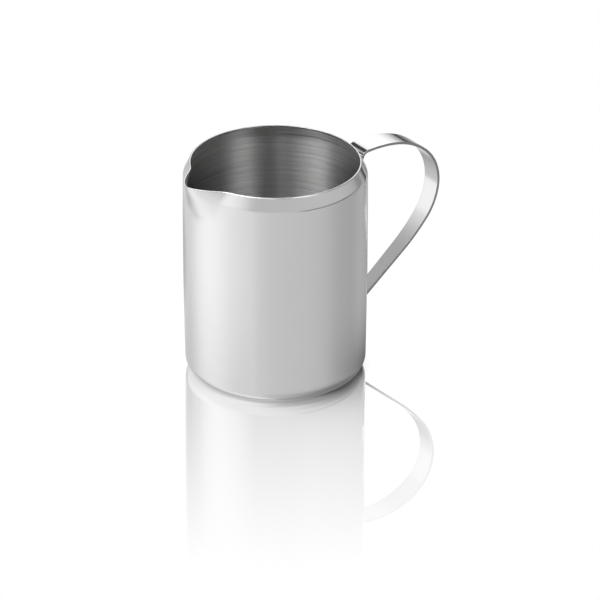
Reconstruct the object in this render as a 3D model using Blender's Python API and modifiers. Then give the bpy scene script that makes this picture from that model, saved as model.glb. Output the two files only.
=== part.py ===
"""Cream jug in polished stainless steel.

A drawn, round cup with a coned shoulder, a plain cut rim and a pouring lip
pressed out of the wall, and a bent flat-strap handle welded on opposite the lip.

Frame: metres, +Z up, origin at the centre of the flat base.  The handle points
to +X and the pouring lip to -X.
"""
import bpy
import bmesh
import math

# ---------------------------------------------------------------- dimensions
MM = 0.001

HEIGHT = 85.7 * MM            # floor to rim
WALL_RADIUS = 35.0 * MM       # outside, at mid height
WALL_CROWN = 0.0103           # barrel: share of the radius lost at rim level
WALL_TAPER = 0.0022           # the top is this much fuller than the foot
SHEET = 0.7 * MM              # drawn steel sheet
BASE_CORNER = 5.3 * MM        # outside radius from wall to base
SHOULDER_Z = 80.9 * MM        # height where the wall turns in
SHOULDER_BEND = 1.3 * MM      # length over which it turns
RIM_RADIUS = 32.4 * MM        # outside, at the cut rim

LIP_REACH = 40.2 * MM         # outside, axis to the tip of the pouring lip
LIP_ROOT_Z = 68.5 * MM        # height where the lip starts to leave the wall
LIP_FLARE = 1.55              # how late the lip throws outwards on its way up
LIP_HALF_ANGLE = 22.0         # degrees, foot of the lip's straight flank
LIP_TIP_ROUND = 3.5           # degrees, rounding of its tip
LIP_FOOT = 0.10               # softness of the flank's foot
LIP_THROAT = 0.62             # width of the lip at its root, share of the rim's

STRAP_THICK = 1.0 * MM
STRAP_MID_WIDTH = 8.02 * MM   # width where the strap is 50 mm above the floor
STRAP_TAPER = 1.95 / 35.0     # extra width for each unit of height
STRAP_EDGE = 0.16 * MM        # broken edges
GAP = 0.3 * MM                # clearance between neighbouring pieces

# The strap is bent from flat bar.  Each bend is (arc length, turn in degrees),
# from the shoulder outwards and down; a minus turns clockwise as seen from -Y.
STRAP_START = (39.2 * MM, 81.35 * MM, 7.6)     # x, z, heading at the crest
STRAP_BENDS = (
    (12.9 * MM, -15.9),       # crest
    (15.5 * MM, -31.6),       # run-out over the hand
    (18.9 * MM, -55.3),       # outer bow
    (14.0 * MM, -32.2),       # under the bow
    (15.5 * MM, -11.8),       # easing into the straight
)
CREST_BEND = 2.0 * MM         # radius where the crest turns down to the cup
CREST_LEAN = 18.0             # degrees, lean of the short drop behind it
TAB_BEND = 5.0 * MM           # radius from the drop into the upper tab
UPPER_TAB = 5.0 * MM          # length held against the wall
FOOT_BEND = 4.0 * MM          # radius from the straight into the lower tab
LOWER_TAB = 5.5 * MM

WELD_RADIUS = 0.45 * MM       # braze bead under each tab

STEPS = 72                    # facets round the cup


# ---------------------------------------------------------------- helpers
def wall_radius(z):
    t = (z - HEIGHT / 2) / (HEIGHT / 2)
    return WALL_RADIUS * (1 + WALL_TAPER * t - WALL_CROWN * t * t)


def strap_width(z):
    return STRAP_MID_WIDTH + STRAP_TAPER * (z - 50 * MM)


def smooth(t):
    t = min(max(t, 0.0), 1.0)
    return t * t * (3 - 2 * t)


def cup_profile():
    """Outer side of the cup, from the rim down to the middle of the base."""
    pts = []
    # straight cone from the rim to the shoulder bend
    z_hi, z_lo = SHOULDER_Z + SHOULDER_BEND, SHOULDER_Z - SHOULDER_BEND
    r_hi = RIM_RADIUS + (wall_radius(SHOULDER_Z) - RIM_RADIUS) * (HEIGHT - z_hi) / (HEIGHT - SHOULDER_Z)
    for k in range(3):
        s = k / 3
        pts.append((RIM_RADIUS + (r_hi - RIM_RADIUS) * s, HEIGHT + (z_hi - HEIGHT) * s))
    # rounded shoulder: a parabola between the cone and the wall
    a, c, b = (r_hi, z_hi), (wall_radius(SHOULDER_Z), SHOULDER_Z), (wall_radius(z_lo), z_lo)
    for k in range(5):
        t = k / 4
        pts.append(tuple((1 - t) ** 2 * a[i] + 2 * t * (1 - t) * c[i] + t * t * b[i] for i in (0, 1)))
    # wall
    n = 12
    z_foot = BASE_CORNER
    for k in range(1, n):
        z = z_lo + (z_foot - z_lo) * (k / n) ** 1.25
        pts.append((wall_radius(z), z))
    # base corner
    r_foot = wall_radius(z_foot)
    for k in range(7):
        a = math.radians(90 * k / 6)
        pts.append((r_foot - BASE_CORNER * (1 - math.cos(a)), BASE_CORNER * (1 - math.sin(a))))
    # flat base
    pts.append((0.5 * (r_foot - BASE_CORNER), 0.0))
    pts.append((0.0, 0.0))
    return pts


def lip_share(angle, width):
    """0 to 1: how far the lip is drawn out at this angle from its middle line."""
    d = math.degrees(abs(angle)) / width
    u = math.sqrt(d * d + LIP_TIP_ROUND ** 2)
    slope = 1.0 / (LIP_HALF_ANGLE - LIP_TIP_ROUND)
    line = (LIP_HALF_ANGLE - u) * slope
    if line / LIP_FOOT > 30:
        return line
    return LIP_FOOT * math.log(1 + math.exp(line / LIP_FOOT))


def lip_push(r, angle, z):
    """Radius of the outer side once the pouring lip has been pressed out."""
    if z <= LIP_ROOT_Z:
        return r
    s = (z - LIP_ROOT_Z) / (HEIGHT - LIP_ROOT_Z)
    width = LIP_THROAT + (1 - LIP_THROAT) * s
    spine = wall_radius(LIP_ROOT_Z) + (LIP_REACH - wall_radius(LIP_ROOT_Z)) * s ** LIP_FLARE
    return r + lip_share(angle, width) * (spine - r) * smooth(3.0 * s)


def strap_path():
    """Middle line of the strap in the XZ plane: upper tab to lower tab."""
    x0, z0, head = STRAP_START
    wall = WALL_RADIUS + GAP + STRAP_THICK / 2
    lean = math.radians(90 - CREST_LEAN)
    head = math.radians(head)
    rise = (x0 - wall) - TAB_BEND * (1 - math.cos(math.radians(CREST_LEAN))) \
        - CREST_BEND * (math.sin(lean) - math.sin(head))
    drop = rise / math.sin(math.radians(CREST_LEAN))
    bends = [(UPPER_TAB, 0.0),
             (TAB_BEND * math.radians(CREST_LEAN), -CREST_LEAN),
             (drop, 0.0),
             (CREST_BEND * (lean - head), -math.degrees(lean - head))]
    lead = len(bends)
    bends += list(STRAP_BENDS)
    end = head + math.radians(sum(b[1] for b in STRAP_BENDS))

    def run(table):
        x, z, h = 0.0, 0.0, math.pi / 2
        pts = [(x, z)]
        marks = []
        for length, turn in table:
            turn = math.radians(turn)
            n = max(1, int(math.ceil(abs(math.degrees(turn)) / 4.5)))
            for _ in range(n):
                mid = h + turn / n / 2
                step = length / n
                if turn:
                    # chord of the arc, so that the ends stay true
                    step = 2 * (length / turn) * math.sin(turn / n / 2)
                x += step * math.cos(mid)
                z += step * math.sin(mid)
                h += turn / n
                pts.append((x, z))
            marks.append((x, z))
        return pts, marks

    _, marks = run(bends)
    crest, tail = marks[lead - 1], marks[-1]
    x_tail = x0 + tail[0] - crest[0]
    foot_turn = -math.pi / 2 - end               # from the straight to straight down
    foot_run = FOOT_BEND * (-1 - math.sin(end))  # sideways travel of that bend
    straight = (wall - x_tail - foot_run) / math.cos(end)
    bends += [(straight, 0.0),
              (FOOT_BEND * foot_turn, math.degrees(foot_turn)),
              (LOWER_TAB, 0.0)]
    pts, marks = run(bends)
    dx, dz = x0 - marks[lead - 1][0], z0 - marks[lead - 1][1]
    return [(x + dx, z + dz) for x, z in pts]


def outline(path, thick):
    """Closed outline at half the thickness on both sides of an open path."""
    left, right = [], []
    n = len(path)
    for i, (x, z) in enumerate(path):
        xa, za = path[max(i - 1, 0)]
        xb, zb = path[min(i + 1, n - 1)]
        tx, tz = xb - xa, zb - za
        ln = math.hypot(tx, tz)
        nx, nz = -tz / ln, tx / ln
        left.append((x + nx * thick / 2, z + nz * thick / 2))
        right.append((x - nx * thick / 2, z - nz * thick / 2))
    return left + right[::-1]


def material(name, colour, rough):
    m = bpy.data.materials.new(name)
    m.use_nodes = True
    b = m.node_tree.nodes["Principled BSDF"]
    b.inputs["Base Color"].default_value = (*colour, 1)
    b.inputs["Metallic"].default_value = 1.0
    b.inputs["Roughness"].default_value = rough
    return m


def as_mesh(obj, name, merge=0.00001):
    """Real mesh object with the shape that obj evaluates to; obj is removed."""
    deps = bpy.context.evaluated_depsgraph_get()
    mesh = bpy.data.meshes.new_from_object(obj.evaluated_get(deps))
    bm = bmesh.new()
    bm.from_mesh(mesh)
    bmesh.ops.remove_doubles(bm, verts=bm.verts, dist=merge)
    bm.to_mesh(mesh)
    bm.free()
    place, homes = obj.matrix_world.copy(), list(obj.users_collection)
    bpy.data.objects.remove(obj)
    new = bpy.data.objects.new(name, mesh)
    new.matrix_world = place
    for c in homes:
        c.objects.link(new)
    mesh.name = name
    return new


# ---------------------------------------------------------------- scene
for o in list(bpy.data.objects):
    bpy.data.objects.remove(o, do_unlink=True)

jug = bpy.data.collections.new("cream_jug")
bpy.context.scene.collection.children.link(jug)

# ---- jug_body: turned profile, lip pressed out, then the sheet's thickness
profile = cup_profile()
mesh = bpy.data.meshes.new("cup_profile")
mesh.from_pydata([(r, 0.0, z) for r, z in profile],
                 [(i, i + 1) for i in range(len(profile) - 1)], [])
turned = bpy.data.objects.new("cup_turned", mesh)
jug.objects.link(turned)
screw = turned.modifiers.new("turn", "SCREW")
screw.axis = 'Z'
screw.angle = math.tau
screw.steps = STEPS
screw.render_steps = STEPS
screw.use_merge_vertices = True
screw.merge_threshold = 0.00001
bpy.context.view_layer.update()

body = as_mesh(turned, "jug_body")
for v in body.data.vertices:
    x, y, z = v.co
    r = math.hypot(x, y)
    if r < 1e-6:
        continue
    angle = math.atan2(y, -x)              # zero on the lip's middle line
    k = lip_push(r, angle, z) / r
    v.co.x, v.co.y = x * k, y * k
sheet = body.modifiers.new("sheet", "SOLIDIFY")
sheet.thickness = SHEET
sheet.offset = -1.0
sheet.use_even_offset = True
sheet.use_rim = True
bpy.context.view_layer.update()
body = as_mesh(body, "jug_body")
# the rim is trimmed level: both edges of the sheet end at the same height
bm = bmesh.new()
bm.from_mesh(body.data)
outer = [v for v in bm.verts if abs(v.co.z - HEIGHT) < 1e-6]
inner = {e.other_vert(v) for v in outer for e in v.link_edges
         if e.calc_length() < 1.4 * SHEET and e.other_vert(v) not in outer}
inner = {v for v in inner if v.co.z > HEIGHT - 0.8 * SHEET}
for v in inner:
    v.co.z = HEIGHT
bm.to_mesh(body.data)
bm.free()
body.data.shade_smooth()
body.data.set_sharp_from_angle(angle=math.radians(35))
body.data.materials.append(material("steel_cup", (0.62, 0.62, 0.62), 0.22))

# ---- handle_strap: side outline, extruded to its widest, then tapered
path = strap_path()
curve = bpy.data.curves.new("strap_outline", 'CURVE')
curve.dimensions = '2D'
curve.fill_mode = 'BOTH'
widest = strap_width(max(z for _, z in path))
curve.extrude = widest / 2
spline = curve.splines.new('POLY')
loop = outline(path, STRAP_THICK)
spline.points.add(len(loop) - 1)
for p, (x, z) in zip(spline.points, loop):
    p.co = (x, z, 0, 1)
spline.use_cyclic_u = True
strap_curve = bpy.data.objects.new("strap_curve", curve)
strap_curve.rotation_euler = (math.pi / 2, 0, 0)
jug.objects.link(strap_curve)
bpy.context.view_layer.update()

strap = as_mesh(strap_curve, "handle_strap")
for v in strap.data.vertices:
    v.co.z *= strap_width(v.co.y) / widest     # local Y is height, local Z is width
edge = strap.modifiers.new("edge", "BEVEL")
edge.width = STRAP_EDGE
edge.segments = 1
edge.limit_method = 'ANGLE'
edge.angle_limit = math.radians(40)
strap.data.shade_smooth()
strap.data.set_sharp_from_angle(angle=math.radians(35))
strap.data.materials.append(material("steel_strap", (0.64, 0.64, 0.64), 0.2))


# ---- braze beads that join the two tabs to the wall
def bead(name, z, half):
    """Bead lying on the wall under a tab, level, following the wall round."""
    c = bpy.data.curves.new(name + "_line", 'CURVE')
    c.dimensions = '3D'
    c.bevel_depth = WELD_RADIUS
    c.bevel_resolution = 2
    c.use_fill_caps = True
    s = c.splines.new('POLY')
    n = 9
    s.points.add(n - 1)
    ring = wall_radius(z) + GAP + WELD_RADIUS
    for i, p in enumerate(s.points):
        y = -half + 2 * half * i / (n - 1)
        p.co = (math.sqrt(ring * ring - y * y), y, z, 1)
        p.radius = 0.55 + 0.45 * math.sin(math.pi * i / (n - 1))
    o = bpy.data.objects.new(name + "_curve", c)
    jug.objects.link(o)
    bpy.context.view_layer.update()
    o = as_mesh(o, name)
    o.data.shade_smooth()
    o.data.set_sharp_from_angle(angle=math.radians(50))
    o.data.materials.append(material("braze_" + name, (0.58, 0.57, 0.55), 0.35))
    return o


z_upper = path[0][1]
z_lower = path[-1][1]
bead("upper_weld", z_upper - GAP - WELD_RADIUS, 0.36 * strap_width(z_upper))
bead("lower_weld", z_lower - GAP - WELD_RADIUS, 0.36 * strap_width(z_lower))
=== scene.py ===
"""Looks of the steel cream jug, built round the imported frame."""

import math

import bmesh
import bpy
import numpy as np
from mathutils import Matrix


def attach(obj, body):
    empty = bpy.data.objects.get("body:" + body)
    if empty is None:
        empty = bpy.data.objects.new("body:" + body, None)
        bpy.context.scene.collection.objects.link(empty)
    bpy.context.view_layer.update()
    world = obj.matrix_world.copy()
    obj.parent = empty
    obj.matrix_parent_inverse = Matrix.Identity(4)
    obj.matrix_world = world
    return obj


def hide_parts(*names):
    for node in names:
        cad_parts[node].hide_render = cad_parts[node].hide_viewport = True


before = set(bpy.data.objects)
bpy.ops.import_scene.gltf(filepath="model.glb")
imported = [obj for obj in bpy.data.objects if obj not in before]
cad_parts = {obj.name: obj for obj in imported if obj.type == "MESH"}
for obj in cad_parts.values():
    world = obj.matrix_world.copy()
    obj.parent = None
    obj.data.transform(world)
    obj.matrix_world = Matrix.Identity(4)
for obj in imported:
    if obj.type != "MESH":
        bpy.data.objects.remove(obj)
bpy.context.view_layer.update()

MM = 0.001
PHI = math.radians(33.86)      # the camera's heading from the handle's plane

# ---------------------------------------------------------------- dimensions
HEIGHT = 85.7 * MM
WALL_RADIUS = 35.0 * MM
WALL_CROWN = 0.0103
WALL_TAPER = 0.0022
SHEET = 0.7 * MM
BASE_CORNER = 5.3 * MM
SHOULDER_Z = 80.9 * MM
SHOULDER_BEND = 1.0 * MM
RIM_RADIUS = 32.4 * MM
LIP_REACH = 40.15 * MM
LIP_ROOT_Z = 68.5 * MM
LIP_FLARE = 1.55
LIP_HALF_ANGLE = 22.0
LIP_TIP_ROUND = 3.5
LIP_FOOT = 0.10
LIP_THROAT = 0.62
RIM_ROUND = 0.14 * MM

STRAP_THICK = 1.0 * MM
STRAP_MID_WIDTH = 8.02 * MM
STRAP_TAPER = 1.95 / 35.0
STRAP_ROUND = 0.2 * MM
GAP = 0.3 * MM
STRAP_START = (39.2 * MM, 81.35 * MM, 7.6)
STRAP_BENDS = ((12.9 * MM, -15.9), (15.5 * MM, -31.6), (18.9 * MM, -55.3),
               (14.0 * MM, -32.2), (15.5 * MM, -11.8))
CREST_BEND = 2.8 * MM
CREST_LEAN = 18.0
TAB_BEND = 5.0 * MM
UPPER_TAB = 5.0 * MM
FOOT_BEND = 4.0 * MM
LOWER_TAB = 5.5 * MM


def smooth(t):
    t = min(max(t, 0.0), 1.0)
    return t * t * (3 - 2 * t)


def wall_radius(z):
    t = (z - HEIGHT / 2) / (HEIGHT / 2)
    return WALL_RADIUS * (1 + WALL_TAPER * t - WALL_CROWN * t * t)


def strap_width(z):
    return STRAP_MID_WIDTH + STRAP_TAPER * (z - 50 * MM)


# ---------------------------------------------------------------- cup
def cup_profile():
    """(r, z) down the outer side, finely stepped, rim to the middle of the base."""
    pts = []
    z_hi, z_lo = SHOULDER_Z + SHOULDER_BEND, SHOULDER_Z - SHOULDER_BEND
    r_hi = RIM_RADIUS + (wall_radius(SHOULDER_Z) - RIM_RADIUS) * (HEIGHT - z_hi) / (HEIGHT - SHOULDER_Z)
    for k in range(10):
        s = k / 10
        pts.append((RIM_RADIUS + (r_hi - RIM_RADIUS) * s, HEIGHT + (z_hi - HEIGHT) * s))
    a, c, b = (r_hi, z_hi), (wall_radius(SHOULDER_Z), SHOULDER_Z), (wall_radius(z_lo), z_lo)
    for k in range(13):
        t = k / 12
        pts.append(tuple((1 - t) ** 2 * a[i] + 2 * t * (1 - t) * c[i] + t * t * b[i] for i in (0, 1)))
    n = 44
    for k in range(1, n):
        z = z_lo + (BASE_CORNER - z_lo) * (k / n) ** 1.2
        pts.append((wall_radius(z), z))
    r_foot = wall_radius(BASE_CORNER)
    for k in range(19):
        a = math.radians(90 * k / 18)
        pts.append((r_foot - BASE_CORNER * (1 - math.cos(a)), BASE_CORNER * (1 - math.sin(a))))
    flat = r_foot - BASE_CORNER
    for k in range(1, 7):
        pts.append((flat * (1 - k / 7), 0.0))
    return pts


def lip_share(angle, width):
    d = math.degrees(abs(angle)) / width
    u = math.sqrt(d * d + LIP_TIP_ROUND ** 2)
    line = (LIP_HALF_ANGLE - u) / (LIP_HALF_ANGLE - LIP_TIP_ROUND)
    if line / LIP_FOOT > 30:
        return line
    return LIP_FOOT * math.log(1 + math.exp(line / LIP_FOOT))


def lip_push(r, angle, z):
    if z <= LIP_ROOT_Z:
        return r
    s = (z - LIP_ROOT_Z) / (HEIGHT - LIP_ROOT_Z)
    width = LIP_THROAT + (1 - LIP_THROAT) * s
    spine = wall_radius(LIP_ROOT_Z) + (LIP_REACH - wall_radius(LIP_ROOT_Z)) * s ** LIP_FLARE
    return r + lip_share(angle, width) * (spine - r) * smooth(3.0 * s)


def round_angles():
    """Angles round the cup, closer together across the lip; zero is the lip."""
    fine = [math.radians(-36 + 72 * k / 144) for k in range(144)]
    rest = [math.radians(36 + 288 * k / 192) for k in range(192)]
    return fine + rest


def make_cup():
    prof = cup_profile()
    ang = round_angles()
    n, m = len(prof), len(ang)
    out = np.zeros((n, m, 3))
    for i, (r, z) in enumerate(prof):
        for j, a in enumerate(ang):
            k = lip_push(r, a if a <= math.pi else a - math.tau, z)
            out[i, j] = (-k * math.cos(a), -k * math.sin(a), z)
    # surface normals by differences
    du = np.gradient(out, axis=0)
    ring = np.concatenate([out[:, -1:], out, out[:, :1]], axis=1)
    dv = ring[:, 2:] - ring[:, :-2]
    nrm = np.cross(dv, du)
    nrm /= np.linalg.norm(nrm, axis=2)[:, :, None] + 1e-12
    mid = out - out.mean(axis=1, keepdims=True)
    if (nrm[30] * mid[30]).sum() < 0:
        nrm = -nrm
    inn = out - nrm * SHEET
    inn[0, :, 2] = HEIGHT
    flat = [i for i, (r, z) in enumerate(prof) if z < 1e-9]
    for i in flat:
        inn[i] = out[i] + (0, 0, SHEET)
    # rounded edges on the cut rim, between the outer and the inner face
    rows, mats = [], []
    r = RIM_ROUND
    across = inn[0] - out[0]
    width = np.linalg.norm(across, axis=1)[:, None]
    across = across / width
    down_o = (out[1] - out[0]) / np.linalg.norm(out[1] - out[0], axis=1)[:, None]
    down_i = (inn[1] - inn[0]) / np.linalg.norm(inn[1] - inn[0], axis=1)[:, None]
    rim = []
    for k in range(5):
        a = math.radians(90 * k / 4)
        rim.append(out[0] + down_o * r * (1 - math.sin(a)) + across * r * (1 - math.cos(a)))
    for k in range(5):
        a = math.radians(90 * k / 4)
        rim.append(inn[0] - across * r * (1 - math.sin(a)) + down_i * r * (1 - math.cos(a)))
    # order: outer centre of base -> up the outside -> over the rim -> down the inside
    order = [out[i] for i in range(n - 1, 0, -1)] + rim + [inn[i] for i in range(1, n)]
    kind = [0] * (n - 1) + [2] * len(rim) + [1] * (n - 1)
    verts = np.concatenate(order).tolist()
    verts.append([0.0, 0.0, 0.0])
    verts.append([0.0, 0.0, SHEET])
    faces, fm = [], []
    R = len(order)
    for i in range(R - 1):
        k = kind[i] if kind[i] == kind[i + 1] else 2
        for j in range(m):
            j2 = (j + 1) % m
            faces.append((i * m + j, i * m + j2, (i + 1) * m + j2, (i + 1) * m + j))
            fm.append(k)
    c0, c1 = len(verts) - 2, len(verts) - 1
    for j in range(m):
        j2 = (j + 1) % m
        faces.append((c0, j2, j))
        fm.append(0)
        faces.append(((R - 1) * m + j, (R - 1) * m + j2, c1))
        fm.append(1)
    mesh = bpy.data.meshes.new("steel_cup")
    mesh.from_pydata(verts, [], faces)
    mesh.polygons.foreach_set("material_index", fm)
    mesh.polygons.foreach_set("use_smooth", [True] * len(faces))
    bm = bmesh.new()
    bm.from_mesh(mesh)
    bmesh.ops.recalc_face_normals(bm, faces=bm.faces)
    bm.to_mesh(mesh)
    bm.free()
    mesh.update()
    o = bpy.data.objects.new("steel_cup", mesh)
    bpy.context.scene.collection.objects.link(o)
    return o


# ---------------------------------------------------------------- strap
def strap_path():
    x0, z0, head = STRAP_START
    wall = WALL_RADIUS + GAP + STRAP_THICK / 2
    lean = math.radians(90 - CREST_LEAN)
    head = math.radians(head)
    rise = (x0 - wall) - TAB_BEND * (1 - math.cos(math.radians(CREST_LEAN))) \
        - CREST_BEND * (math.sin(lean) - math.sin(head))
    drop = rise / math.sin(math.radians(CREST_LEAN))
    bends = [(UPPER_TAB, 0.0), (TAB_BEND * math.radians(CREST_LEAN), -CREST_LEAN),
             (drop, 0.0), (CREST_BEND * (lean - head), -math.degrees(lean - head))]
    lead = len(bends)
    bends += list(STRAP_BENDS)
    end = head + math.radians(sum(b[1] for b in STRAP_BENDS))

    def run(table):
        x, z, h, s = 0.0, 0.0, math.pi / 2, 0.0
        pts, marks = [(x, z, h)], []
        for length, turn in table:
            turn = math.radians(turn)
            n = max(int(math.ceil(abs(math.degrees(turn)) / 1.2)), int(math.ceil(length / (0.9 * MM))))
            for _ in range(n):
                mid = h + turn / n / 2
                step = length / n
                if turn:
                    step = 2 * (length / turn) * math.sin(turn / n / 2)
                x += step * math.cos(mid)
                z += step * math.sin(mid)
                h += turn / n
                pts.append((x, z, h))
            marks.append((x, z))
        return pts, marks

    _, marks = run(bends)
    crest, tail = marks[lead - 1], marks[-1]
    x_tail = x0 + tail[0] - crest[0]
    foot_turn = -math.pi / 2 - end
    foot_run = FOOT_BEND * (-1 - math.sin(end))
    straight = (wall - x_tail - foot_run) / math.cos(end)
    bends += [(straight, 0.0), (FOOT_BEND * foot_turn, math.degrees(foot_turn)), (LOWER_TAB, 0.0)]
    pts, marks = run(bends)
    dx, dz = x0 - marks[lead - 1][0], z0 - marks[lead - 1][1]
    return [(x + dx, z + dz, h) for x, z, h in pts]


def make_strap():
    path = strap_path()
    t, r = STRAP_THICK / 2, STRAP_ROUND
    verts, faces = [], []
    per = 0
    last = len(path) - 1
    for i, (x, z, h) in enumerate(path):
        w = strap_width(z) / 2
        nx, nz = -math.sin(h), math.cos(h)
        # the ends of the tabs are rounded off over their last 0.3 mm
        shrink = 0.25 * MM if i in (0, last) else 0.0
        section = []
        for cx, cy, a0 in ((w - r, t - r, 0), (-(w - r), t - r, 90), (-(w - r), -(t - r), 180), (w - r, -(t - r), 270)):
            for k in range(6):
                a = math.radians(a0 + 90 * k / 5)
                section.append((cx + r * math.cos(a), cy + r * math.sin(a)))
        # extra points across the width keep the broad faces even, and a pair
        # close to the corners keeps their shading from creeping inwards
        full = []
        for k, (u, v) in enumerate(section):
            full.append((u, v))
            if k in (5, 17):
                u2, v2 = section[(k + 1) % 24]
                for q in (0.18, 1, 2, 3, 4, 5, 6, 7, 7.82):
                    full.append((u + (u2 - u) * q / 8, v + (v2 - v) * q / 8))
        per = len(full)
        sc = 1 - shrink / w
        for u, v in full:
            v *= 1 - (0.3 if shrink else 0)
            u *= sc
            verts.append((x + nx * v, u, z + nz * v))
    n = len(path)
    for i in range(n - 1):
        for k in range(per):
            k2 = (k + 1) % per
            faces.append((i * per + k, i * per + k2, (i + 1) * per + k2, (i + 1) * per + k))
    faces.append(tuple(range(per)))
    faces.append(tuple((n - 1) * per + k for k in range(per - 1, -1, -1)))
    mesh = bpy.data.meshes.new("steel_strap")
    mesh.from_pydata(verts, [], faces)
    bm = bmesh.new()
    bm.from_mesh(mesh)
    bmesh.ops.recalc_face_normals(bm, faces=bm.faces)
    bm.to_mesh(mesh)
    bm.free()
    mesh.polygons.foreach_set("use_smooth", [True] * len(mesh.polygons))
    mesh.set_sharp_from_angle(angle=math.radians(50))
    o = bpy.data.objects.new("steel_strap", mesh)
    bpy.context.scene.collection.objects.link(o)
    return o, path


# ---------------------------------------------------------------- braze beads
def make_bead(name, z, half, lift):
    """Rippled bead on the wall under a tab: a row of overlapping drops."""
    verts, faces = [], []
    n, per = 60, 16
    rng = np.random.default_rng(5)
    jit = rng.normal(0, 1, 32)
    for i in range(n + 1):
        s = i / n
        y = -half + 2 * half * s
        body = math.sin(math.pi * min(max(s, 0.0), 1.0)) ** 0.35 if 0 < s < 1 else 0.02
        ripple = 1 + 0.07 * abs(math.sin(math.pi * s * 9)) + 0.02 * jit[int(s * 31)]
        ry, rz = 0.44 * MM * body * ripple, 0.42 * MM * body * ripple
        ring = wall_radius(z) + GAP + 0.45 * MM
        cx = math.sqrt(ring * ring - y * y)
        for k in range(per):
            a = math.tau * k / per
            verts.append((cx + ry * math.cos(a), y, z + lift + rz * math.sin(a)))
    for i in range(n):
        for k in range(per):
            k2 = (k + 1) % per
            faces.append((i * per + k, i * per + k2, (i + 1) * per + k2, (i + 1) * per + k))
    faces.append(tuple(range(per)))
    faces.append(tuple(n * per + k for k in range(per - 1, -1, -1)))
    mesh = bpy.data.meshes.new(name)
    mesh.from_pydata(verts, [], faces)
    bm = bmesh.new()
    bm.from_mesh(mesh)
    bmesh.ops.recalc_face_normals(bm, faces=bm.faces)
    bm.to_mesh(mesh)
    bm.free()
    mesh.polygons.foreach_set("use_smooth", [True] * len(mesh.polygons))
    o = bpy.data.objects.new(name, mesh)
    bpy.context.scene.collection.objects.link(o)
    return o


# ---------------------------------------------------------------- node helpers
class Nodes:
    def __init__(self, tree):
        self.t = tree

    def new(self, kind, **props):
        n = self.t.nodes.new(kind)
        for k, v in props.items():
            setattr(n, k, v)
        return n

    def link(self, a, b):
        self.t.links.new(a, b)

    def math(self, op, a, b=None, c=None, clamp=False):
        n = self.new("ShaderNodeMath", operation=op, use_clamp=clamp)
        for i, v in enumerate((a, b, c)):
            if v is None:
                continue
            if isinstance(v, (int, float)):
                n.inputs[i].default_value = v
            else:
                self.link(v, n.inputs[i])
        return n.outputs[0]

    def ramp(self, fac, stops, mode='LINEAR'):
        n = self.new("ShaderNodeValToRGB")
        n.color_ramp.interpolation = mode
        el = n.color_ramp.elements
        while len(el) > 1:
            el.remove(el[-1])
        el[0].position, v = stops[0]
        el[0].color = (v, v, v, 1)
        for p, v in stops[1:]:
            e = el.new(p)
            e.color = (v, v, v, 1)
        self.link(fac, n.inputs[0])
        return n.outputs[0]

    def maprange(self, v, a, b, c, d, kind='SMOOTHSTEP'):
        n = self.new("ShaderNodeMapRange", interpolation_type=kind)
        self.link(v, n.inputs[0])
        for i, x in enumerate((a, b, c, d)):
            n.inputs[i + 1].default_value = x
        return n.outputs[0]


def cylinder_coords(N, spin=1.0):
    """(angle round the cup x its radius, z) from the object's own coordinates."""
    tc = N.new("ShaderNodeTexCoord")
    sep = N.new("ShaderNodeSeparateXYZ")
    N.link(tc.outputs["Object"], sep.inputs[0])
    x, y, z = sep.outputs
    ang = N.math('ARCTAN2', y, x)
    rad = N.math('SQRT', N.math('ADD', N.math('MULTIPLY', x, x), N.math('MULTIPLY', y, y)))
    return ang, rad, z, tc


def brushed(N, ang, rad, z, along, across, seed, detail=4.0):
    """Noise drawn out along the brushing: long round the cup, fine across it."""
    comb = N.new("ShaderNodeCombineXYZ")
    ca, sa = N.math('COSINE', ang), N.math('SINE', ang)
    N.link(N.math('MULTIPLY', ca, along), comb.inputs[0])
    N.link(N.math('MULTIPLY', sa, along), comb.inputs[1])
    # height plus radius, so that the lines carry on as rings over the base
    N.link(N.math('MULTIPLY', N.math('ADD', z, rad), across), comb.inputs[2])
    add = N.new("ShaderNodeVectorMath", operation='ADD')
    N.link(comb.outputs[0], add.inputs[0])
    add.inputs[1].default_value = (seed, seed * 0.7, seed * 1.3)
    noise = N.new("ShaderNodeTexNoise")
    noise.inputs["Scale"].default_value = 1.0
    noise.inputs["Detail"].default_value = detail
    noise.inputs["Roughness"].default_value = 0.62
    N.link(add.outputs[0], noise.inputs["Vector"])
    return noise.outputs[0]


def new_material(name):
    m = bpy.data.materials.new(name)
    m.use_nodes = True
    N = Nodes(m.node_tree)
    b = m.node_tree.nodes["Principled BSDF"]
    b.inputs["Metallic"].default_value = 1.0
    return m, N, b


def rgb(N, v, tint=(1.0, 1.0, 1.0)):
    c = N.new("ShaderNodeCombineColor")
    for i in range(3):
        N.link(N.math('MULTIPLY', v, tint[i]), c.inputs[i])
    return c.outputs[0]


def mat_outside():
    m, N, b = new_material("polished_steel")
    ang, rad, z, tc = cylinder_coords(N)
    fine = brushed(N, ang, rad, z, 14.0, 5200.0, 3.1)
    broad = brushed(N, ang, rad, z, 5.0, 160.0, 8.4, 2.0)
    cloud = N.new("ShaderNodeTexNoise")
    cloud.inputs["Scale"].default_value = 38.0
    cloud.inputs["Detail"].default_value = 3.0
    N.link(tc.outputs["Object"], cloud.inputs["Vector"])
    v = N.math('ADD', N.math('MULTIPLY', fine, 0.03), N.math('MULTIPLY', broad, 0.02))
    v = N.math('ADD', v, OUT_BASE - 0.025)
    N.link(rgb(N, v, (0.998, 1.0, 1.0)), b.inputs["Base Color"])
    r = N.math('ADD', N.math('MULTIPLY', fine, 0.05), N.math('MULTIPLY', cloud.outputs[0], 0.03))
    N.link(N.math('ADD', r, OUT_ROUGH - 0.04), b.inputs["Roughness"])
    bump = N.new("ShaderNodeBump")
    bump.inputs["Strength"].default_value = 0.03
    bump.inputs["Distance"].default_value = 0.00002
    N.link(fine, bump.inputs["Height"])
    N.link(bump.outputs[0], b.inputs["Normal"])
    return m


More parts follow.
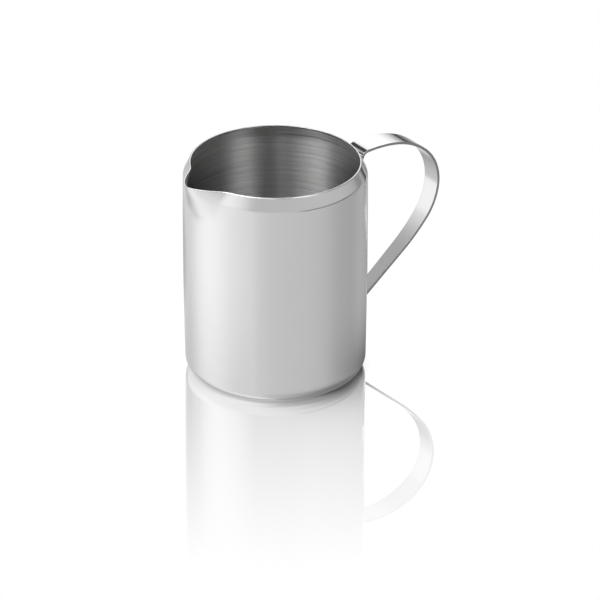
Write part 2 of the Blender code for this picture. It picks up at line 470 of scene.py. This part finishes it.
def mat_inside():
    m, N, b = new_material("turned_steel")
    ang, rad, z, tc = cylinder_coords(N)
    fine = brushed(N, ang, rad, z, 2.4, 6500.0, 1.7, 2.0)
    mid = brushed(N, ang, rad, z, 0.7, 3300.0, 5.9, 2.0)
    v = N.math('ADD', N.math('MULTIPLY', fine, 0.50), N.math('MULTIPLY', mid, 0.40))
    v = N.math('ADD', v, IN_BASE - 0.45)
    N.link(rgb(N, v, (1.0, 0.998, 0.992)), b.inputs["Base Color"])
    r = N.math('ADD', N.math('MULTIPLY', fine, 0.16), IN_ROUGH - 0.08)
    N.link(r, b.inputs["Roughness"])
    b.inputs["Anisotropic"].default_value = 1.0
    b.inputs["Anisotropic Rotation"].default_value = 0.25   # spread up and down, across the brushing
    tan = N.new("ShaderNodeTangent", direction_type='RADIAL', axis='Z')
    N.link(tan.outputs[0], b.inputs["Tangent"])
    bump = N.new("ShaderNodeBump")
    bump.inputs["Strength"].default_value = 0.4
    bump.inputs["Distance"].default_value = 0.00010
    N.link(N.math('ADD', fine, N.math('MULTIPLY', mid, 0.8)), bump.inputs["Height"])
    N.link(bump.outputs[0], b.inputs["Normal"])
    return m


def mat_rim():
    m, N, b = new_material("cut_rim_steel")
    ang, rad, z, tc = cylinder_coords(N)
    fine = brushed(N, ang, rad, z, 40.0, 9000.0, 2.2)
    v = N.math('ADD', N.math('MULTIPLY', fine, 0.06), 0.66)
    N.link(rgb(N, v), b.inputs["Base Color"])
    N.link(N.math('ADD', N.math('MULTIPLY', fine, 0.1), 0.2), b.inputs["Roughness"])
    return m


def mat_strap():
    m, N, b = new_material("strap_steel_fine")
    tc = N.new("ShaderNodeTexCoord")
    mp = N.new("ShaderNodeMapping")
    mp.inputs["Scale"].default_value = (45.0, 4200.0, 45.0)
    N.link(tc.outputs["Object"], mp.inputs["Vector"])
    noise = N.new("ShaderNodeTexNoise")
    noise.inputs["Scale"].default_value = 1.0
    noise.inputs["Detail"].default_value = 4.0
    N.link(mp.outputs[0], noise.inputs["Vector"])
    v = N.math('ADD', N.math('MULTIPLY', noise.outputs[0], 0.05), STRAP_BASE - 0.025)
    N.link(rgb(N, v, (0.998, 1.0, 1.0)), b.inputs["Base Color"])
    N.link(N.math('ADD', N.math('MULTIPLY', noise.outputs[0], 0.06), 0.11), b.inputs["Roughness"])
    bump = N.new("ShaderNodeBump")
    bump.inputs["Strength"].default_value = 0.06
    bump.inputs["Distance"].default_value = 0.00002
    N.link(noise.outputs[0], bump.inputs["Height"])
    N.link(bump.outputs[0], b.inputs["Normal"])
    return m


def mat_strap_edge():
    m, N, b = new_material("sheared_edge")
    tc = N.new("ShaderNodeTexCoord")
    noise = N.new("ShaderNodeTexNoise")
    noise.inputs["Scale"].default_value = 900.0
    noise.inputs["Detail"].default_value = 4.0
    N.link(tc.outputs["Object"], noise.inputs["Vector"])
    v = N.math('ADD', N.math('MULTIPLY', noise.outputs[0], 0.08), 0.31)
    N.link(rgb(N, v), b.inputs["Base Color"])
    N.link(N.math('ADD', N.math('MULTIPLY', noise.outputs[0], 0.1), 0.28), b.inputs["Roughness"])
    return m


def mat_bead():
    m, N, b = new_material("braze_fine")
    tc = N.new("ShaderNodeTexCoord")
    noise = N.new("ShaderNodeTexNoise")
    noise.inputs["Scale"].default_value = 2200.0
    noise.inputs["Detail"].default_value = 3.0
    N.link(tc.outputs["Object"], noise.inputs["Vector"])
    v = N.math('ADD', N.math('MULTIPLY', noise.outputs[0], 0.2), 0.48)
    N.link(rgb(N, v, (1.0, 0.985, 0.95)), b.inputs["Base Color"])
    N.link(N.math('ADD', N.math('MULTIPLY', noise.outputs[0], 0.2), 0.22), b.inputs["Roughness"])
    bump = N.new("ShaderNodeBump")
    bump.inputs["Strength"].default_value = 0.3
    bump.inputs["Distance"].default_value = 0.00005
    N.link(noise.outputs[0], bump.inputs["Height"])
    N.link(bump.outputs[0], b.inputs["Normal"])
    return m


# looks that were tuned together
OUT_BASE, OUT_ROUGH = 0.80, 0.13
IN_BASE, IN_ROUGH = 0.46, 0.44
STRAP_BASE = 0.82

cup = make_cup()
for m in (mat_outside(), mat_inside(), mat_rim()):
    cup.data.materials.append(m)
strap, path = make_strap()
strap.data.materials.append(mat_strap())
strap.data.materials.append(mat_strap_edge())
for p in strap.data.polygons:
    p.material_index = 1 if abs(p.normal.y) > 0.12 else 0
z_up, z_low = path[0][1], path[-1][1]
bead_mat = mat_bead()
upper = make_bead("upper_bead", z_up - GAP - 0.45 * MM, 0.36 * strap_width(z_up), 0.0)
lower = make_bead("lower_bead", z_low - GAP - 0.45 * MM, 0.36 * strap_width(z_low), 0.0)
upper.data.materials.append(bead_mat)
lower.data.materials.append(bead_mat)

for piece, node, slot in ((cup, "jug_body", "cup_steel"), (strap, "handle_strap", "strap_steel"),
                          (upper, "upper_weld", "weld_bead"), (lower, "lower_weld", "weld_bead")):
    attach(piece, "root")
    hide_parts(node)


# ---------------------------------------------------------------- studio
def ramp_stops(pairs, full=2.0):
    return [((a + 180.0) / 360.0, v / full) for a, v in pairs]


# brightness of the studio by compass direction, 0 = to the right, 90 = behind
LOW = ((-180, 1.12), (-170, 1.10), (-158, 1.03), (-148, 0.96), (-134, 0.89), (-121, 0.84), (-116, 0.81),
       (-112, 0.75), (-95, 0.68), (-75, 0.65), (-45, 0.62), (-25, 0.57), (-5, 0.48), (20, 0.45), (42, 0.5),
       (58, 0.46), (70, 0.42), (84, 0.7), (92, 0.95), (112, 0.74), (135, 0.78), (148, 0.90), (158, 1.02), (172, 1.12), (180, 1.12))
HIGH = ((-180, 1.13), (-168, 1.19), (-156, 1.12), (-145, 1.02), (-134, 0.90), (-127, 0.78), (-122, 0.67), (-116, 0.58),
        (-60, 0.59), (-30, 0.60), (0, 0.58), (30, 0.50), (52, 0.42), (66, 0.6), (76, 1.45), (92, 1.45), (98, 1.0), (105, 0.62), (115, 0.3), (126, 0.25),
        (140, 0.28), (149, 0.44), (157, 0.5), (168, 0.88), (180, 1.13))
TOP = ((-180, 7.6), (-166, 8.2), (-156, 6.6), (-148, 5.0), (-135, 3.2), (-122, 2.4), (-113, 0.7), (-106, 0.7), (-97, 3.2), (-89, 0.1),
       (-78, 0.05), (-62, 0.08), (-54, 1.8), (-45, 5.6), (-32, 5.8), (-22, 0.4), (-10, 0.03), (40, 0.03), (140, 0.05),
       (158, 0.25), (166, 1.0), (173, 5.0), (180, 7.6))
# the dark line where the table ends
LINE = ((-180, 0.0), (-68, 0.0), (-52, 0.85), (4, 0.75), (20, 0.4), (42, 0.4), (56, 0.95), (95, 0.95), (106, 0.0), (180, 0.0))


def make_world():
    w = bpy.data.worlds.new("studio")
    bpy.context.scene.world = w
    w.use_nodes = True
    t = w.node_tree
    t.nodes.clear()
    N = Nodes(t)
    out = N.new("ShaderNodeOutputWorld")
    tc = N.new("ShaderNodeTexCoord")
    sep = N.new("ShaderNodeSeparateXYZ")
    N.link(tc.outputs["Generated"], sep.inputs[0])
    x, y, z = sep.outputs
    az = N.math('ADD', N.math('ARCTAN2', y, x), PHI)
    az = N.math('WRAP', az, math.pi, -math.pi)
    fac = N.math('ADD', N.math('DIVIDE', az, math.tau), 0.5)
    el = N.math('DIVIDE', N.math('ARCSINE', z), math.pi / 180.0)
    low = N.math('MULTIPLY', N.ramp(fac, ramp_stops(LOW)), 2.0)
    high = N.math('MULTIPLY', N.ramp(fac, ramp_stops(HIGH)), 2.0)
    # to the left the low wall of light stands higher
    tall = N.maprange(N.math('ABSOLUTE', N.math('SUBTRACT', az, math.radians(165))), 0.45, 0.75, 20.0, 0.0)
    up = N.maprange(N.math('SUBTRACT', el, tall), -6.0, 14.0, 0.0, 1.0)
    belt = N.math('ADD', N.math('MULTIPLY', low, N.math('SUBTRACT', 1.0, up)), N.math('MULTIPLY', high, up))
    back = N.ramp(fac, ramp_stops(LINE, 1.0))
    line = N.maprange(N.math('ABSOLUTE', el), 1.2, 4.6, 1.0, 0.0)
    belt = N.math('MULTIPLY', belt, N.math('SUBTRACT', 1.0, N.math('MULTIPLY', back, line)))
    far = N.maprange(N.math('ABSOLUTE', N.math('SUBTRACT', az, math.radians(85))), 0.35, 0.7, 1.0, 0.0)
    glow = N.maprange(N.math('ABSOLUTE', N.math('SUBTRACT', el, 0.5)), 1.0, 27.0, 1.0, 0.0)
    belt = N.math('MULTIPLY', belt, N.math('SUBTRACT', 1.0, N.math('MULTIPLY', N.math('MULTIPLY', far, glow), 0.66)))
    # a dim patch placed so the strap's lower run has something darker to show
    tail = N.math('MULTIPLY', N.maprange(N.math('ABSOLUTE', N.math('SUBTRACT', az, math.radians(59))), 0.10, 0.24, 1.0, 0.0),
                  N.maprange(N.math('ABSOLUTE', N.math('ADD', el, 6.0)), 5.0, 11.0, 0.8, 0.0))
    belt = N.math('MULTIPLY', belt, N.math('SUBTRACT', 1.0, tail))
    # overhead boxes and the dim ceiling between them
    lift = N.maprange(N.math('COSINE', N.math('SUBTRACT', az, math.radians(168))), 0.9135, 0.970, 0.0, 20.0)
    top = N.maprange(N.math('SUBTRACT', el, lift), 33.0, 39.0, 0.0, 1.0)
    over = N.math('MULTIPLY', N.ramp(fac, ramp_stops(TOP, 10.0)), 10.0)
    zen = N.maprange(el, 74.0, 88.0, 0.0, 1.0)
    over = N.math('ADD', N.math('MULTIPLY', over, N.math('SUBTRACT', 1.0, zen)), N.math('MULTIPLY', zen, 0.35))
    belt = N.math('ADD', N.math('MULTIPLY', belt, N.math('SUBTRACT', 1.0, top)), N.math('MULTIPLY', top, over))
    # the table close in front of the eye is a little dimmer, most of all behind
    foot = N.maprange(el, -46.0, -33.0, 1.0, 0.0)
    rear = N.maprange(N.math('ABSOLUTE', N.math('SUBTRACT', az, math.radians(106))), 0.3, 0.55, 0.26, 0.04)
    belt = N.math('MULTIPLY', belt, N.math('SUBTRACT', 1.0, N.math('MULTIPLY', foot, rear)))
    lp = N.new("ShaderNodeLightPath")
    cam = lp.outputs["Is Camera Ray"]
    val = N.math('ADD', N.math('MULTIPLY', belt, N.math('SUBTRACT', 1.0, cam)), N.math('MULTIPLY', cam, 1.0))
    bg = N.new("ShaderNodeBackground")
    N.link(val, bg.inputs[0])
    bg.inputs[1].default_value = 1.0
    N.link(bg.outputs[0], out.inputs[0])


def disc(name, radius, z):
    bm = bmesh.new()
    bmesh.ops.create_circle(bm, cap_ends=True, segments=128, radius=radius)
    mesh = bpy.data.meshes.new(name)
    bm.to_mesh(mesh)
    bm.free()
    o = bpy.data.objects.new(name, mesh)
    o.location.z = z
    bpy.context.scene.collection.objects.link(o)
    return o


def floor_coords(N):
    tc = N.new("ShaderNodeTexCoord")
    sep = N.new("ShaderNodeSeparateXYZ")
    N.link(tc.outputs["Object"], sep.inputs[0])
    x, y, _ = sep.outputs
    rad = N.math('SQRT', N.math('ADD', N.math('MULTIPLY', x, x), N.math('MULTIPLY', y, y)))
    az = N.math('WRAP', N.math('ADD', N.math('ARCTAN2', y, x), PHI), math.pi, -math.pi)
    return rad, az


def make_floor():
    """White acrylic: white, with a mirror image that fades away from the jug, and painted shade round the jug's foot,
    most of all on its right.
    """
    o = disc("floor", 12.0, -0.00005)
    o.visible_glossy = False
    o.visible_diffuse = False
    m = bpy.data.materials.new("white_acrylic")
    m.use_nodes = True
    t = m.node_tree
    t.nodes.clear()
    N = Nodes(t)
    out = N.new("ShaderNodeOutputMaterial")
    rad, az = floor_coords(N)
    fade = N.maprange(rad, 0.030, 0.155, 1.0, 0.0, 'LINEAR')
    k = N.math('MULTIPLY', N.math('POWER', fade, 1.2), 0.44)
    # painted shade: close to the jug, most of all on its right, the floor darkens, the mirror taking more of it and its
    # tint dimmed
    side = N.maprange(N.math('ABSOLUTE', N.math('SUBTRACT', az, math.radians(18))), 0.9, 2.0, 1.0, 0.0)
    near = N.math('EXPONENT', N.math('DIVIDE', N.math('SUBTRACT', rad, 0.035), -0.0095))
    lead = N.maprange(N.math('ABSOLUTE', N.math('SUBTRACT', az, math.radians(18))), 1.7, 2.4, 0.46, 0.02)
    touch = N.math('MULTIPLY', N.maprange(rad, 0.0346, 0.0368, 1.0, 0.0), N.math('ADD', lead, N.math('MULTIPLY', side, 0.3)))
    painted_shade = N.math('MAXIMUM', N.math('MULTIPLY', side, N.math('MULTIPLY', near, 0.80)), touch)
    painted_shade = N.math('MINIMUM', painted_shade, 1.0)
    k = N.math('ADD', k, N.math('MULTIPLY', N.math('SUBTRACT', 1.0, k), painted_shade))
    # seen steeply, acrylic shines far less
    graze = N.new("ShaderNodeLayerWeight")
    graze.inputs["Blend"].default_value = 0.5
    k = N.math('MULTIPLY', k, N.maprange(graze.outputs["Facing"], 0.16, 0.42, 0.1, 1.0))
    tint = N.math('MULTIPLY', N.math('SUBTRACT', 1.0, N.math('MULTIPLY', painted_shade, 0.3)), 0.86)
    em = N.new("ShaderNodeEmission")
    # painted contact shadow: the white and the mirror dim in a narrow ring round the jug's foot
    shade = N.maprange(rad, 0.0290, 0.0340, 0.55, 1.0)
    N.link(shade, em.inputs[0])
    em.inputs[1].default_value = 1.0
    gl = N.new("ShaderNodeBsdfGlossy")
    gl.inputs["Roughness"].default_value = 0.0
    N.link(N.math('MULTIPLY', shade, tint), gl.inputs[0])
    mix = N.new("ShaderNodeMixShader")
    N.link(k, mix.inputs[0])
    N.link(em.outputs[0], mix.inputs[1])
    N.link(gl.outputs[0], mix.inputs[2])
    N.link(mix.outputs[0], out.inputs[0])
    o.data.materials.append(m)
    return o


def make_shadow():
    """Soft dark patches on the table, seen only in reflections.

    Placed to bring the steel near the photo's tones. They are not a computed shadow.
    """
    o = disc("table_shade", 0.30, -0.0001)
    o.visible_camera = False
    o.visible_diffuse = False
    m = bpy.data.materials.new("table_shade")
    m.use_nodes = True
    t = m.node_tree
    t.nodes.clear()
    N = Nodes(t)
    out = N.new("ShaderNodeOutputMaterial")
    rad, az = floor_coords(N)
    side = N.maprange(N.math('ABSOLUTE', N.math('SUBTRACT', az, math.radians(18))), 0.25, 1.25, 1.0, 0.0)
    near = N.maprange(rad, 0.036, 0.135, 1.0, 0.0, 'LINEAR')
    wide = N.math('POWER', near, 1.5)
    near = N.math('POWER', near, 4.6)
    left = N.maprange(N.math('COSINE', N.math('ADD', az, math.radians(165))), 0.35, 0.75, 0.0, 0.17)
    broad = N.maprange(N.math('ABSOLUTE', N.math('SUBTRACT', az, math.radians(18))), 0.9, 2.2, 1.0, 0.0)
    under = N.math('MULTIPLY', N.maprange(rad, 0.0310, 0.0365, 1.0, 0.0), N.math('ADD', 0.1, N.math('MULTIPLY', broad, 0.7)))
    f = N.math('MAXIMUM', N.math('MULTIPLY', side, near), under)
    f = N.math('MAXIMUM', f, N.math('MULTIPLY', left, wide))
    f = N.math('MAXIMUM', f, N.math('MULTIPLY', broad, N.maprange(rad, 0.0355, 0.0460, 0.8, 0.0)))
    # and one faint round patch, back and to the left, for the limb to show
    px = N.math('ADD', N.math('MULTIPLY', rad, N.math('COSINE', az)), 0.028)
    py = N.math('SUBTRACT', N.math('MULTIPLY', rad, N.math('SINE', az)), 0.106)
    away = N.math('SQRT', N.math('ADD', N.math('MULTIPLY', px, px), N.math('MULTIPLY', py, py)))
    f = N.math('MAXIMUM', f, N.maprange(away, 0.035, 0.085, 0.44, 0.0))
    em = N.new("ShaderNodeEmission")
    em.inputs[0].default_value = (0.15, 0.15, 0.15, 1)
    tr = N.new("ShaderNodeBsdfTransparent")
    mix = N.new("ShaderNodeMixShader")
    N.link(f, mix.inputs[0])
    N.link(tr.outputs[0], mix.inputs[1])
    N.link(em.outputs[0], mix.inputs[2])
    N.link(mix.outputs[0], out.inputs[0])
    o.data.materials.append(m)
    return o


make_world()
make_floor()
make_shadow()

# ---------------------------------------------------------------- camera
cam_data = bpy.data.cameras.new("camera")
cam = bpy.data.objects.new("camera", cam_data)
bpy.context.scene.collection.objects.link(cam)
DIST, ELEV, PITCH = 1.5370, 28.09, 27.19
back = DIST * math.cos(math.radians(ELEV))
cam.location = (-back * math.sin(PHI), -back * math.cos(PHI), DIST * math.sin(math.radians(ELEV)))
cam.rotation_euler = (math.radians(90 - PITCH), 0.0, -PHI)
cam_data.lens = 239.76
cam_data.sensor_width = 36.0
cam_data.shift_x = 0.0411
cam_data.clip_start = 0.05
cam_data.clip_end = 100.0
bpy.context.scene.camera = cam

sc = bpy.context.scene
sc.cycles.max_bounces = 24
sc.cycles.glossy_bounces = 16
sc.cycles.use_denoising = True
sc.view_settings.view_transform = 'Standard'
sc.view_settings.look = 'None'
sc.view_settings.exposure = 0.0
sc.view_settings.gamma = 1.0
